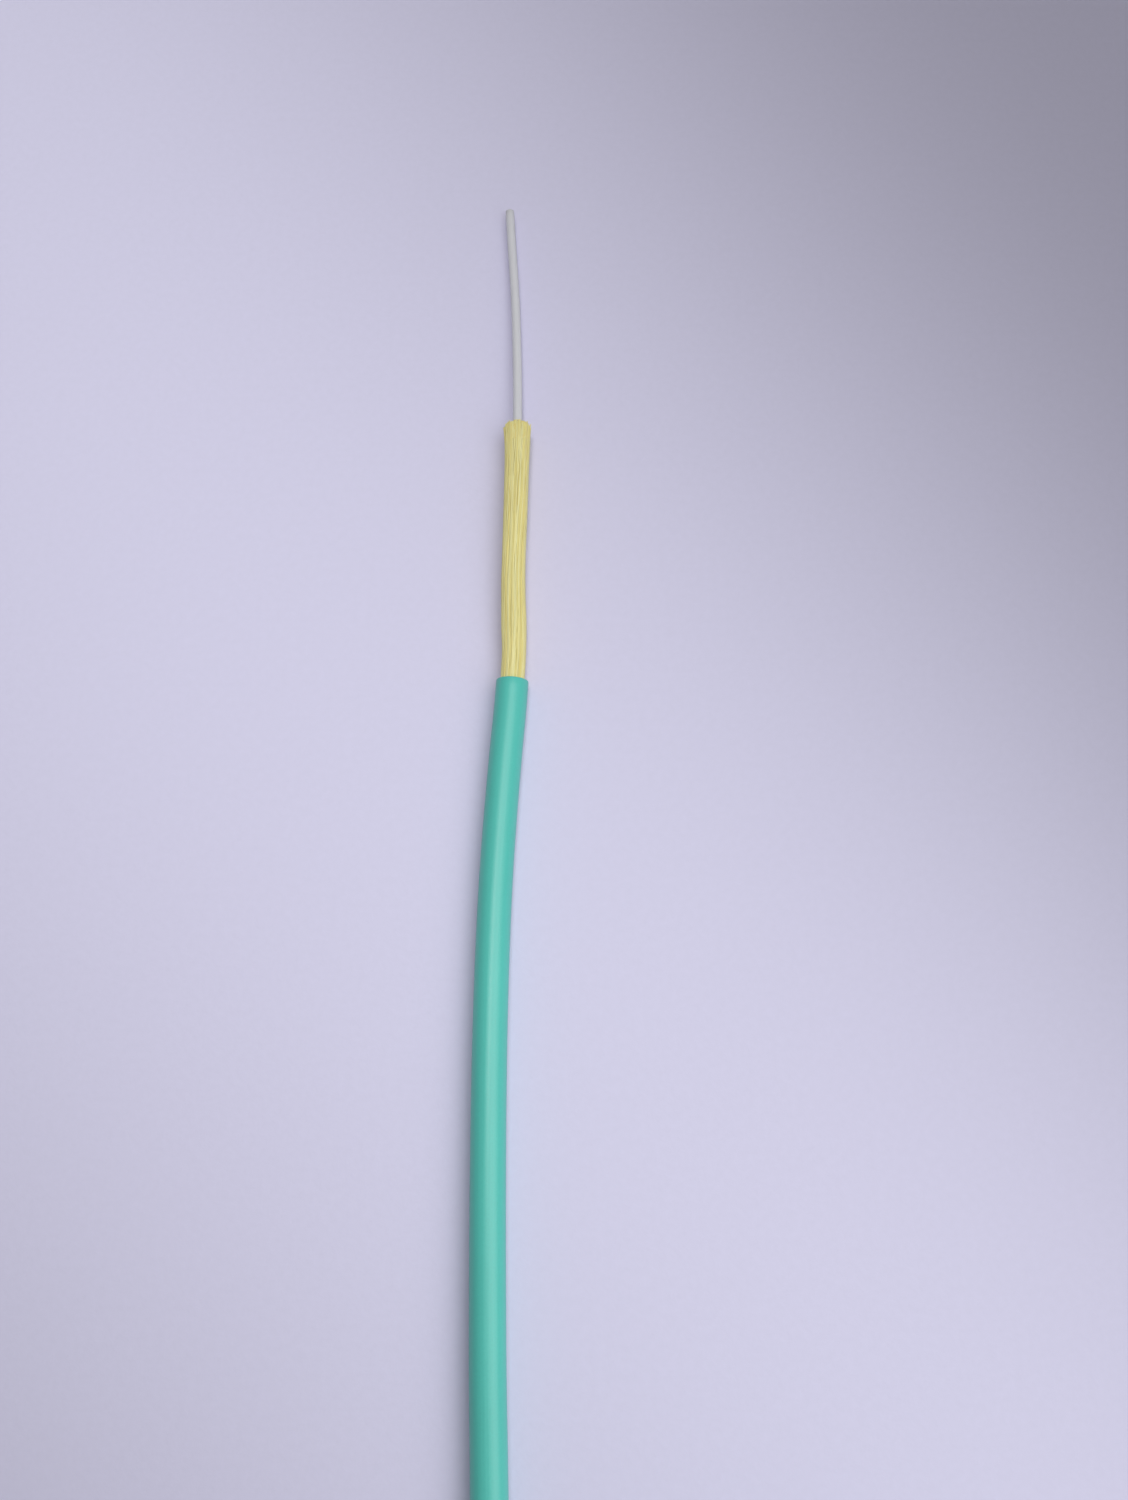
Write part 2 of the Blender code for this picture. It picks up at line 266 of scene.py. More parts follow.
def skin_along(name, walks, sides, material):
    """One closed skin for each walk of (distance, radius) rings along the cable, capped at both ends.

    The UV map holds the distance along the walk in metres and the share of the way round.
    """
    turns = [2 * math.pi * k / sides for k in range(sides)]
    verts, faces, uvs = [], [], []
    for walk in walks:
        base = len(verts)
        reach = [0.0]
        for near, far in zip(walk, walk[1:]):
            reach.append(reach[-1] + math.hypot(far[0] - near[0], far[1] - near[1]))
        for s, radius in walk:
            centre, across, up = section_at(s)
            verts += [
                centre + across * (radius * math.cos(turn)) + up * (radius * math.sin(turn))
                for turn in turns
            ]
        for i in range(len(walk) - 1):
            a, b = base + i * sides, base + (i + 1) * sides
            for k in range(sides):
                j = (k + 1) % sides
                faces.append((a + k, b + k, b + j, a + j))
                low, high = k / sides, (k + 1) / sides
                uvs += [(reach[i], low), (reach[i + 1], low), (reach[i + 1], high), (reach[i], high)]
        last = base + (len(walk) - 1) * sides
        faces.append(tuple(range(base, base + sides)))
        faces.append(tuple(reversed(range(last, last + sides))))
        uvs += [(0.0, k / sides) for k in range(sides)]
        uvs += [(reach[-1], k / sides) for k in reversed(range(sides))]
    return finished_mesh(name, verts, faces, material, uvs)


def keep(piece, slot, *nodes):
    """A finished piece: it rides on the one body and stands for these nodes, which are hidden."""
    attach(piece, "root")
    if nodes:
        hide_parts(*nodes)
    return piece


class Nodes:
    """Short calls that build a node tree, for materials and for geometry."""

    def __init__(self, tree):
        self.tree = tree

    def add(self, kind, inputs=None, **settings):
        made = self.tree.nodes.new(kind)
        for key, value in settings.items():
            setattr(made, key, value)
        for key, value in (inputs or {}).items():
            self.feed(made.inputs[key], value)
        return made

    def feed(self, socket, value):
        """Links an output to a socket, or sets the socket's value."""
        if isinstance(value, bpy.types.NodeSocket):
            self.tree.links.new(value, socket)
        else:
            socket.default_value = value

    def math(self, operation, *values):
        """One step of arithmetic."""
        made = self.add("ShaderNodeMath", operation=operation)
        for socket, value in zip(made.inputs, values):
            self.feed(socket, value)
        return made.outputs[0]

    def vector(self, x=0.0, y=0.0, z=0.0):
        return self.add("ShaderNodeCombineXYZ", {"X": x, "Y": y, "Z": z}).outputs[0]


class Finish(Nodes):
    """A Principled material and the patterns that its surface takes."""

    def __init__(self, name, colour, roughness, **constants):
        self.material = bpy.data.materials.new(name)
        self.material.use_nodes = True
        super().__init__(self.material.node_tree)
        self.shader = self.tree.nodes["Principled BSDF"]
        self.shader.inputs["Base Color"].default_value = (*colour, 1)
        self.shader.inputs["Roughness"].default_value = roughness
        for key, value in constants.items():
            self.shader.inputs[key.replace("_", " ")].default_value = value

    def place(self):
        """The point on the piece, in metres, for patterns that follow its shape."""
        return self.add("ShaderNodeTexCoord").outputs["Object"]

    def round_the_cable(self, per_turn, per_metre):
        """A place that goes round the cable without a seam, and along it."""
        uv_map = self.add("ShaderNodeUVMap", uv_map="UVMap").outputs[0]
        uv = self.add("ShaderNodeSeparateXYZ", {0: uv_map})
        angle = self.math("MULTIPLY", uv.outputs["Y"], 2 * math.pi)
        return self.vector(
            self.math("MULTIPLY", self.math("COSINE", angle), per_turn),
            self.math("MULTIPLY", self.math("SINE", angle), per_turn),
            self.math("MULTIPLY", uv.outputs["X"], per_metre),
        )

    def noise(self, place, scale=1.0, detail=2.0, roughness=0.5):
        inputs = {"Vector": place, "Scale": scale, "Detail": detail, "Roughness": roughness}
        return self.add("ShaderNodeTexNoise", inputs).outputs[0]

    def spread(self, noise, low=0.0, high=1.0):
        """Stretches the middle of a noise, where most of its values are, over low to high."""
        inputs = {"Value": noise, "From Min": 0.3, "From Max": 0.7, "To Min": low, "To Max": high}
        return self.add("ShaderNodeMapRange", inputs).outputs[0]

    def tones(self, share, *colours):
        """A colour ramp over the share, from the first colour to the last."""
        ramp = self.add("ShaderNodeValToRGB", {"Fac": share})
        elements = ramp.color_ramp.elements
        while len(elements) < len(colours):
            elements.new(0.5)
        for i, colour in enumerate(colours):
            elements[i].position = i / (len(colours) - 1)
            elements[i].color = (*colour, 1)
        return ramp.outputs["Color"]

    def colour(self, output):
        self.feed(self.shader.inputs["Base Color"], output)

    def rough(self, output):
        self.feed(self.shader.inputs["Roughness"], output)

    def relief(self, *layers):
        """Raises the surface by (height share, depth in metres) layers."""
        normal = None
        for height, depth in layers:
            bump = self.add("ShaderNodeBump", {"Height": height, "Distance": depth, "Strength": 1.0})
            if normal is not None:
                self.feed(bump.inputs["Normal"], normal)
            normal = bump.outputs["Normal"]
        self.feed(self.shader.inputs["Normal"], normal)


def tint(colour, factor):
    """The colour made deeper or paler by a factor."""
    return tuple(c * factor for c in colour)


# Colours, as the surfaces reflect them
AQUA = (0.089, 0.518, 0.447)
ARAMID = (0.748, 0.674, 0.272)
ARAMID_DEEP = (0.610, 0.520, 0.186)
ARAMID_PALE = (0.82, 0.79, 0.42)
BUFFER_WHITE = (0.640, 0.645, 0.680)
GLASS = (0.85, 0.90, 0.93)
GLASS_DEEP = (0.74, 0.80, 0.84)
GLASS_PALE = (0.88, 0.92, 0.94)
FLOOR_LILAC = (0.645, 0.630, 0.805)
TIE_BLACK = (0.022, 0.022, 0.024)


def aqua_compound():
    """Satin aqua jacket: faint cloudiness, a fine pebbled skin and drawing lines along it."""
    f = Finish("aqua_jacket_compound", AQUA, roughness=0.36, Specular_IOR_Level=0.52)
    cloud = f.noise(f.place(), scale=90, detail=3)
    specks = f.noise(f.place(), scale=5200)
    drawn = f.noise(f.round_the_cable(per_turn=9, per_metre=22), detail=3)
    tone = f.math("MULTIPLY_ADD", cloud, 0.6, f.math("MULTIPLY", specks, 0.4))
    f.colour(f.tones(f.spread(tone), tint(AQUA, 0.95), AQUA, tint(AQUA, 1.04)))
    f.rough(f.spread(specks, low=0.32, high=0.40))
    f.relief((specks, 0.0035 * MM), (drawn, 0.012 * MM))
    return f.material


def aramid(name, shade, roughness):
    """Yellow aramid with a silky sheen."""
    return Finish(
        name,
        tint(ARAMID, shade),
        roughness,
        Specular_IOR_Level=0.35,
        Sheen_Weight=0.3,
        Sheen_Roughness=0.5,
        Sheen_Tint=(1.0, 0.93, 0.66, 1.0),
    )


def filament_yellow():
    """Loose filaments, a little paler or deeper from one to the next."""
    f = aramid("aramid_filament", shade=1.0, roughness=0.5)
    own = f.add("ShaderNodeAttribute", attribute_name="tone").outputs["Fac"]
    f.colour(f.tones(own, tint(ARAMID_DEEP, 1.25), ARAMID, tint(ARAMID, 1.04), ARAMID_PALE))
    f.relief((f.noise(f.place(), scale=9000), 0.004 * MM))
    return f.material


def packed_yellow():
    """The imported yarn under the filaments, deeper in colour and streaked along the cable."""
    f = aramid("aramid_core", shade=0.8, roughness=0.65)
    streak = f.noise(f.round_the_cable(per_turn=14, per_metre=60), detail=4)
    f.colour(f.tones(f.spread(streak), ARAMID_DEEP, tint(ARAMID, 0.8), tint(ARAMID, 0.95)))
    f.relief((streak, 0.06 * MM))
    return f.material


def buffer_white():
    """Tight buffer: milky white, a little translucent, with soft drawing lines."""
    f = Finish(
        "buffer_white",
        BUFFER_WHITE,
        roughness=0.34,
        Subsurface_Weight=0.35,
        Subsurface_Scale=0.5 * MM,
        Subsurface_Radius=(1.0, 1.0, 1.0),
    )
    drawn = f.noise(f.round_the_cable(per_turn=5, per_metre=40))
    f.colour(f.tones(f.spread(drawn), tint(BUFFER_WHITE, 0.95), tint(BUFFER_WHITE, 1.03)))
    f.rough(f.spread(f.noise(f.place(), scale=6000), low=0.28, high=0.4))
    f.relief((drawn, 0.006 * MM))
    return f.material


def clear_glass():
    """Coated fibre: pale and glossy, with a faint mottle on its end face."""
    f = Finish("coated_glass", GLASS, roughness=0.08, IOR=1.46)
    mottle = f.noise(f.place(), scale=9000)
    f.colour(f.tones(f.spread(mottle), GLASS_DEEP, GLASS_PALE))
    return f.material


def tie_coating():
    """Black coated wire tie, with a fine leathery skin."""
    f = Finish("tie_coating", TIE_BLACK, roughness=0.42)
    grain = f.noise(f.place(), scale=4200, detail=3)
    f.colour(f.tones(f.spread(grain), tint(TIE_BLACK, 0.8), tint(TIE_BLACK, 1.6)))
    f.rough(f.spread(grain, low=0.36, high=0.52))
    f.relief((grain, 0.02 * MM))
    return f.material


def pale_floor():
    """Plain matt floor, with a faint tooth."""
    f = Finish("pale_floor", FLOOR_LILAC, roughness=0.85, Specular_IOR_Level=0.2)
    tooth = f.noise(f.place(), scale=1400, detail=4, roughness=0.6)
    f.colour(f.tones(f.spread(tooth), tint(FLOOR_LILAC, 0.985), tint(FLOOR_LILAC, 1.01)))
    f.relief((tooth, 0.02 * MM))
    return f.material


# Jacket: one skin, which also lines the bore at both cut ends
BORE_DEPTH = 8 * MM
JACKET_SIDES = 36

# The worn corners of its cut ends
SQUARED = 0.07 * MM
RIM_DEPTH = 0.03 * MM
RIM_SHOULDER = 0.02 * MM
OUTER_WEAR = 0.09 * MM
INNER_WEAR = 0.04 * MM

# How far apart its rings are, and how far past the join with the coil the finer ones go
LAID_RINGS = 0.8 * MM
COIL_RINGS = 1.1 * MM
BORE_RINGS = 1 * MM
PAST_JOIN = 2 * MM


def cut_rim(end, inwards):
    """Rings of a squarely cut end with worn corners, from the outside of the jacket to its bore."""
    return [
        (end + inwards * RIM_DEPTH, JACKET_R - RIM_SHOULDER),
        (end, JACKET_R - OUTER_WEAR),
        (end, JACKET_BORE_R + INNER_WEAR),
        (end + inwards * RIM_DEPTH, JACKET_BORE_R),
    ]


def jacket_walk():
    """Rings of the jacket: out of its bore, along the laid stretch and the coil, and into its far bore."""
    laid_end = -laid_length - PAST_JOIN
    outside = spaced(-SQUARED, laid_end, LAID_RINGS)
    outside += spaced(laid_end, FAR_END + SQUARED, COIL_RINGS)[1:]
    near = [(s, JACKET_BORE_R) for s in spaced(-BORE_DEPTH, -SQUARED, BORE_RINGS)]
    near += reversed(cut_rim(0, -1))
    far = cut_rim(FAR_END, 1)
    far += [(s, JACKET_BORE_R) for s in spaced(FAR_END + SQUARED, FAR_END + BORE_DEPTH, BORE_RINGS)]
    return near + [(s, JACKET_R) for s in outside] + far


jacket = skin_along("jacket", [jacket_walk()], JACKET_SIDES, aqua_compound())
keep(jacket, "jacket", "outer_jacket", "cable_coil")


# Buffer and fibre: drawn from inside the jacket to the stripped tip, and as a stub at the far end
STUB = 7 * MM
FAR_PROUD = 0.25 * MM
FAR_TIP = FAR_END - FAR_PROUD
BUFFER_SIDES = 28
BUFFER_RINGS = 0.7 * MM
BUFFER_BORE_DEPTH = 1.5 * MM
FIBRE_SIDES = 16
FIBRE_RINGS = 0.3 * MM
FIBRE_DEPTH = 1.4 * MM

# The worn corners of their ends, as (length along the cable, depth)
BUFFER_OUTER_WEAR = (0.03 * MM, 0.035 * MM)
BUFFER_INNER_WEAR = (0.02 * MM, 0.01 * MM)
FIBRE_WEAR = (0.01 * MM, 0.01 * MM)


def buffer_walk(inside, end):
    """Rings of the buffer from a disc inside the cable to its cut end, and down its bore."""
    way = 1 if end > inside else -1
    outer_length, outer_depth = BUFFER_OUTER_WEAR
    inner_length, inner_depth = BUFFER_INNER_WEAR
    rings = [(s, BUFFER_R) for s in spaced(inside, end - way * outer_length, BUFFER_RINGS)]
    rings += [(end, BUFFER_R - outer_depth), (end, BUFFER_BORE_R + inner_depth)]
    rings += [(end - way * back, BUFFER_BORE_R) for back in (inner_length, BUFFER_BORE_DEPTH)]
    return rings


def fibre_walk(inside, end):
    """Rings of the coated fibre inside the buffer's bore, with a cleaved end."""
    way = 1 if end > inside else -1
    length, depth = FIBRE_WEAR
    rings = [(s, FIBRE_R) for s in spaced(inside, end - way * length, FIBRE_RINGS)]
    return rings + [(end, FIBRE_R - depth)]


buffer = skin_along(
    "buffer",
    [buffer_walk(-STUB, TIP), buffer_walk(FAR_END + STUB, FAR_TIP)],
    BUFFER_SIDES,
    buffer_white(),
)
keep(buffer, "buffer", "tight_buffer")
fibre = skin_along(
    "fibre",
    [fibre_walk(TIP - FIBRE_DEPTH, TIP), fibre_walk(FAR_TIP + FIBRE_DEPTH, FAR_TIP)],
    FIBRE_SIDES,
    clear_glass(),
)
keep(fibre, "fibre", "coated_fibre")


# Yarn: a packed core, and loose filaments laid over it
BORE_CLEARANCE = 0.03 * MM
CORE_SIDES = 36
CORE_RINGS = 0.7 * MM

# How far the core stays under the yarn's outside, along it and at its ends, and off the buffer
CORE_COVER = 0.13 * MM
CORE_END_COVER = 0.3 * MM
CORE_CORNER = 0.2 * MM
CORE_CLEARANCE = 0.02 * MM

# How far the core stops short of the yarn's cut ends
CORE_SUNK = 0.55 * MM
FAR_CORE_SUNK = 0.05 * MM

# How far the yarn's outside is from its axis, in mm, at places in mm from the jacket's cut end
YARN_OUTLINE = [
    (0.0, 1.12), (2.5, 1.13), (5.5, 1.20), (8.5, 1.15), (12.0, 1.13), (16.5, 1.16), (21.0, 1.19),
    (24.5, 1.26), (26.2, 1.28),
]


def sleeve_radius(s):
    """Outside of the yarn: it fills the bore, swells past it and opens towards its cut end."""
    if s <= 0:
        return YARN_R - BORE_CLEARANCE
    for (near, narrow), (far, wide) in zip(YARN_OUTLINE, YARN_OUTLINE[1:]):
        if s <= far * MM:
            break
    return (narrow + (wide - narrow) * ease((s / MM - near) / (far - near))) * MM


def core_walk(inside, end, sunk):
    """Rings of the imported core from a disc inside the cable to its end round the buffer."""
    way = 1 if end > inside else -1
    stop = end - way * sunk
    stations = spaced(inside, stop - way * CORE_CORNER, CORE_RINGS)
    rings = [(s, sleeve_radius(s) - CORE_COVER) for s in stations]
    return rings + [(stop, sleeve_radius(stop) - CORE_END_COVER), (stop, BUFFER_R + CORE_CLEARANCE)]


core = skin_along(
    "yarn_core",
    [core_walk(-STUB, STRIPPED_YARN, CORE_SUNK), core_walk(FAR_END + STUB, FAR_END, FAR_CORE_SUNK)],
    CORE_SIDES,
    packed_yellow(),
)
keep(core, "yarn", "aramid_yarn")


# Filaments: their section, how unevenly they lie, and how the last part of each bursts outwards
FILAMENT_R = 0.05 * MM
FILAMENT_SIDES = 5
WANDER_WAVES = 3.0
WANDER_STRIDE = 7.31
SCATTER = 0.12
GROOVE_SHARPNESS = 10.0
FRAYED_PARTS = 9.0
GOLDEN_TURN = math.pi * (3 - math.sqrt(5))


def filament_layer():
    """Geometry tree that lays filaments along a guide line, each at its own place round the sleeve."""
    tree = bpy.data.node_groups.new("lay_filaments", "GeometryNodeTree")
    face = tree.interface
    face.new_socket("Geometry", in_out="INPUT", socket_type="NodeSocketGeometry")
    for name, kind in (
        ("Filaments", "Int"), ("Filament Radius", "Float"), ("Layer Depth", "Float"),
        ("Wander", "Float"), ("Lay Angle", "Float"), ("Bundles", "Float"),
        ("Groove Depth", "Float"), ("Burst", "Float"), ("Uneven End", "Float"),
        ("Seed", "Int"), ("Finish", "Material"),
    ):
        face.new_socket(name, in_out="INPUT", socket_type="NodeSocket" + kind)
    face.new_socket("Geometry", in_out="OUTPUT", socket_type="NodeSocketGeometry")
    g = Nodes(tree)
    given = g.add("NodeGroupInput").outputs
    line = g.add("GeometryNodeMeshToCurve", {"Mesh": given["Geometry"]}).outputs[0]
    line = g.add("GeometryNodeSetCurveNormal", {"Curve": line}, mode="Z_UP").outputs[0]
    copies = g.add(
        "GeometryNodeDuplicateElements",
        {"Geometry": line, "Amount": given["Filaments"]},
        domain="SPLINE",
    )
    number = copies.outputs["Duplicate Index"]

    def chance(salt, low=0.0, high=1.0):
        """One random value for each filament."""
        made = g.add("FunctionNodeRandomValue", data_type="FLOAT")
        # A float's lowest and highest value are inputs 2 and 3
        g.feed(made.inputs[2], low)
        g.feed(made.inputs[3], high)
        g.feed(made.inputs["ID"], number)
        g.feed(made.inputs["Seed"], g.math("ADD", given["Seed"], salt))
        return made.outputs[1]

    along = g.add("GeometryNodeSplineParameter").outputs["Factor"]
    wave = g.math("MULTIPLY", along, WANDER_WAVES)
    own_wave = g.math("MULTIPLY", number, WANDER_STRIDE)
    drift = g.add(
        "ShaderNodeTexNoise",
        {"Vector": g.vector(wave, own_wave, given["Seed"]), "Scale": 1.0, "Detail": 1.0},
        noise_dimensions="3D",
    ).outputs[0]
    golden = g.math("MULTIPLY", number, GOLDEN_TURN)
    home = g.math("ADD", golden, chance(1, -SCATTER, SCATTER))
    angle = g.math("MULTIPLY_ADD", g.math("SUBTRACT", drift, 0.5), given["Wander"], home)
    angle = g.math("MULTIPLY_ADD", along, given["Lay Angle"], angle)
    bundle = g.math("ABSOLUTE", g.math("SINE", g.math("MULTIPLY", home, given["Bundles"])))
    groove = g.math("POWER", bundle, GROOVE_SHARPNESS)
    depth = g.math("MULTIPLY", g.math("POWER", chance(2), 2.0), given["Layer Depth"])
    depth = g.math("MULTIPLY_ADD", groove, given["Groove Depth"], depth)
    last_part = g.math("MULTIPLY_ADD", along, FRAYED_PARTS, 1 - FRAYED_PARTS)
    fray = g.math("POWER", g.math("MAXIMUM", last_part, 0.0), 2.0)
    own_burst = g.math("MULTIPLY", g.math("POWER", chance(3), 3.0), given["Burst"])
    fray = g.math("MULTIPLY", fray, own_burst)
    sleeve = g.add("GeometryNodeInputNamedAttribute", {"Name": "sleeve"}, data_type="FLOAT").outputs[0]
    radius = g.math("SUBTRACT", g.math("SUBTRACT", sleeve, given["Filament Radius"]), depth)
    radius = g.math("ADD", radius, fray)
    side = g.add("GeometryNodeInputNormal").outputs[0]
    ahead_way = g.add("GeometryNodeInputTangent").outputs[0]
    rise = g.add("ShaderNodeVectorMath", {0: ahead_way, 1: side}, operation="CROSS_PRODUCT").outputs[0]

    def push(direction, distance):
        made = g.add("ShaderNodeVectorMath", {0: direction}, operation="SCALE")
        g.feed(made.inputs["Scale"], distance)
        return made.outputs[0]

    offset = g.add(
        "ShaderNodeVectorMath",
        {
            0: push(side, g.math("MULTIPLY", radius, g.math("COSINE", angle))),
            1: push(rise, g.math("MULTIPLY", radius, g.math("SINE", angle))),
        },
        operation="ADD",
    ).outputs[0]
    laid = g.add(
        "GeometryNodeSetPosition", {"Geometry": copies.outputs["Geometry"], "Offset": offset}
    ).outputs[0]
    end = g.math("SUBTRACT", 1.0, g.math("MULTIPLY", chance(4), given["Uneven End"]))
    laid = g.add("GeometryNodeTrimCurve", {"Curve": laid, "End": end}, mode="FACTOR").outputs[0]
    toned = g.add(
        "GeometryNodeStoreNamedAttribute",
        {"Geometry": laid, "Name": "tone", "Value": chance(5)},
        data_type="FLOAT",
        domain="CURVE",
    ).outputs[0]
    toned = g.add("GeometryNodeSetCurveRadius", {"Curve": toned, "Radius": 1.0}).outputs[0]
    profile = g.add(
        "GeometryNodeCurvePrimitiveCircle",
        {"Resolution": FILAMENT_SIDES, "Radius": given["Filament Radius"]},
    ).outputs["Curve"]
    spun = g.add(
        "GeometryNodeCurveToMesh", {"Curve": toned, "Profile Curve": profile, "Fill Caps": True}
    ).outputs[0]
    spun = g.add("GeometryNodeSetShadeSmooth", {"Geometry": spun, "Shade Smooth": True}).outputs[0]
    whole = g.add("GeometryNodeRealizeInstances", {"Geometry": spun}).outputs[0]
    whole = g.add("GeometryNodeSetMaterial", {"Geometry": whole, "Material": given["Finish"]}).outputs[0]
    g.feed(g.add("NodeGroupOutput").inputs["Geometry"], whole)
    return tree


def lay_filaments(name, start, end, step, tree, sizes):
    """Filaments along the cable from start to end, made by the tree and kept as a plain mesh."""
    stations = spaced(start, end, step)
    guide = bpy.data.meshes.new(name + "_guide")
    steps = [(i, i + 1) for i in range(len(stations) - 1)]
    guide.from_pydata([axis_at(s) for s in stations], steps, [])
    sleeve = guide.attributes.new("sleeve", "FLOAT", "POINT")
    sleeve.data.foreach_set("value", [sleeve_radius(s) for s in stations])
    maker = bpy.data.objects.new(name + "_maker", guide)
    bpy.context.scene.collection.objects.link(maker)
    modifier = maker.modifiers.new("filaments", "NODES")
    modifier.node_group = tree
    inputs = [item for item in tree.interface.items_tree if item.in_out == "INPUT"]
    sockets = {item.name: item.identifier for item in inputs}
    for key, value in sizes.items():
        modifier[sockets[key]] = value
    depsgraph = bpy.context.evaluated_depsgraph_get()
    mesh = bpy.data.meshes.new_from_object(
        maker.evaluated_get(depsgraph), preserve_all_data_layers=True, depsgraph=depsgraph
    )
    mesh.name = name
    bpy.data.objects.remove(maker, do_unlink=True)
    piece = bpy.data.objects.new(name, mesh)
    bpy.context.scene.collection.objects.link(piece)
    return piece


# Where the filaments start and stop, and how finely they are drawn
IN_BORE = 3 * MM
LOOSE_STOP = STRIPPED_YARN - 0.15 * MM
LOOSE_STEP = 0.8 * MM
CUT_DEPTH = 2.2 * MM
FAR_CUT_DEPTH = 2 * MM
CUT_LINE = 0.12 * MM
CUT_STEP = 0.5 * MM

tree = filament_layer()
loose = {
    "Filaments": 230,
    "Filament Radius": FILAMENT_R,
    "Layer Depth": 0.10 * MM,
    "Wander": 0.55,
    "Lay Angle": 0.35,
    "Bundles": 3.5,
    "Groove Depth": 0.035 * MM,
    "Burst": 0.16 * MM,
    "Uneven End": 0.016,
    "Seed": 4,
    "Finish": filament_yellow(),
}
inner = {
    **loose,
    "Filaments": 260,
    "Layer Depth": 0.66 * MM,
    "Burst": 0.0,
    "Uneven End": 0.16,
    "Seed": 9,
}
filaments = lay_filaments("yarn_filaments", -IN_BORE, LOOSE_STOP, LOOSE_STEP, tree, loose)
keep(filaments, "yarn")
cut_filaments = lay_filaments(
    "yarn_cut_end", STRIPPED_YARN - CUT_DEPTH, STRIPPED_YARN - CUT_LINE, CUT_STEP, tree, inner
)
keep(cut_filaments, "yarn")
far_filaments = lay_filaments(
    "yarn_far_end", FAR_END + FAR_CUT_DEPTH, FAR_END - CUT_LINE, CUT_STEP, tree, inner
)
keep(far_filaments, "yarn")


# Twist ties: a flat ribbon whose wire shows as a ridge along its middle
TIE_EDGE = 0.2 * MM
TIE_WIRE = 0.45 * MM
TIE_CREASE = 55
STRAND_CORNERS = 40
COIL_EDGE = OUTER_TURN + 1 * MM

# Its rounded corners as a share of its thickness, and its ridge and the ridge's points of its half width
CORNER_SHARE = 0.4
RIDGE_SHARE = 0.24
RIDGE_POINTS = (-0.6, -0.34, -0.2, -0.08, 0.08, 0.2, 0.34, 0.6)

# The two free ends, twisted round each other: they part and lift over the first shares of their length
TAIL_RIBBON = (1.1 * MM, 0.36 * MM, 0.6 * MM)
TAIL_LENGTH = 9.0 * MM
TAIL_TURNS = 1.5
TAIL_STEPS = 96
TAIL_APART = 0.3 * MM
TAIL_PARTED = 0.1
TAIL_LIFT = 0.66 * MM
TAIL_LIFTED = 0.2


def strands_at(degrees):
    """Where the turns cross the upright plane at this angle, as (radius, height)."""
    found = []
    toward = math.radians(degrees)
    for a, b in zip(behind.samples, behind.samples[1:]):
        pa, pb = a - coil_middle, b - coil_middle
        if pa.xy.length > COIL_EDGE:
            continue
        turn_a = (math.atan2(pa.y, pa.x) - toward + math.pi) % (2 * math.pi) - math.pi
        turn_b = (math.atan2(pb.y, pb.x) - toward + math.pi) % (2 * math.pi) - math.pi
        if turn_a <= 0 < turn_b and turn_b - turn_a < 1:
            found.append(((pa.xy.length + pb.xy.length) / 2, (pa.z + pb.z) / 2))
    return found


def tight_loop(strands, radius):
    """The taut line round all the strands: the convex hull of their circles, counter-clockwise."""
    corners = [2 * math.pi * k / STRAND_CORNERS for k in range(STRAND_CORNERS)]
    points = sorted(
        (r + radius * math.cos(turn), z + radius * math.sin(turn)) for r, z in strands for turn in corners
    )

    def half(points):
        chain = []
        for p in points:
            while len(chain) > 1 and (
                (chain[-1][0] - chain[-2][0]) * (p[1] - chain[-2][1])
                - (chain[-1][1] - chain[-2][1]) * (p[0] - chain[-2][0])
            ) <= 0:
                chain.pop()
            chain.append(p)
        return chain[:-1]

    return half(points) + half(points[::-1])


def ribbon_profile(width, edge, wire):
    """Section of a coated tie: a flat ribbon with its wire as a ridge along the middle."""
    half, flat, corner = width / 2, edge / 2, edge * CORNER_SHARE
    slope = corner * (1 - math.sqrt(0.5))
    right = [(half - corner, flat), (half - slope, flat - slope), (half, flat - corner)]
    ridge = [
        (share * half, flat + (wire - edge) / 2 * math.exp(-((share / RIDGE_SHARE) ** 2)))
        for share in RIDGE_POINTS
    ]
    top = [(-x, y) for x, y in right[::-1]] + ridge + right
    return top[::-1] + [(x, -y) for x, y in top]


def sweep(stations, profile, closed):
    """Skin of a profile carried along stations of (centre, across, out)."""
    verts, faces = [], []
    n = len(profile)
    for centre, across, out in stations:
        verts += [centre + across * x + out * y for x, y in profile]
    loops = len(stations) if closed else len(stations) - 1
    for i in range(loops):
        a, b = i * n, (i + 1) % len(stations) * n
        faces += [(a + k, a + (k + 1) % n, b + (k + 1) % n, b + k) for k in range(n)]
    if not closed:
        faces.append(tuple(range(n)))
        faces.append(tuple(reversed(range(len(verts) - n, len(verts)))))
    return verts, faces


def tie_band(loop, outward, sideways):
    """The ribbon pulled tight round the turns, along a loop of (radius, height)."""
    places = [coil_middle + outward * r + Vector((0, 0, z)) for r, z in loop]
    stations = []
    for i, place in enumerate(places):
        along = (places[(i + 1) % len(places)] - places[i - 1]).normalized()
        stations.append((place, sideways, sideways.cross(along) * -1))
    return sweep(stations, ribbon_profile(TIE_WIDTH, TIE_EDGE, TIE_WIRE), closed=True)


def tie_tail(root, outward, sideways, side):
    """One free end, from where the tie closes: it starts its twist on this side of the other one."""
    stations = []
    for k in range(TAIL_STEPS + 1):
        share = k / TAIL_STEPS
        turn = side + 2 * math.pi * TAIL_TURNS * share
        out = outward * math.cos(turn) + Vector((0, 0, math.sin(turn)))
        centre = root + sideways * (share * TAIL_LENGTH)
        centre += Vector((0, 0, TAIL_LIFT * ease(share / TAIL_LIFTED)))
        apart = TAIL_APART * ease(share / TAIL_PARTED)
        stations.append((centre + out * apart, sideways.cross(out), out))
    return sweep(stations, ribbon_profile(*TAIL_RIBBON), closed=False)


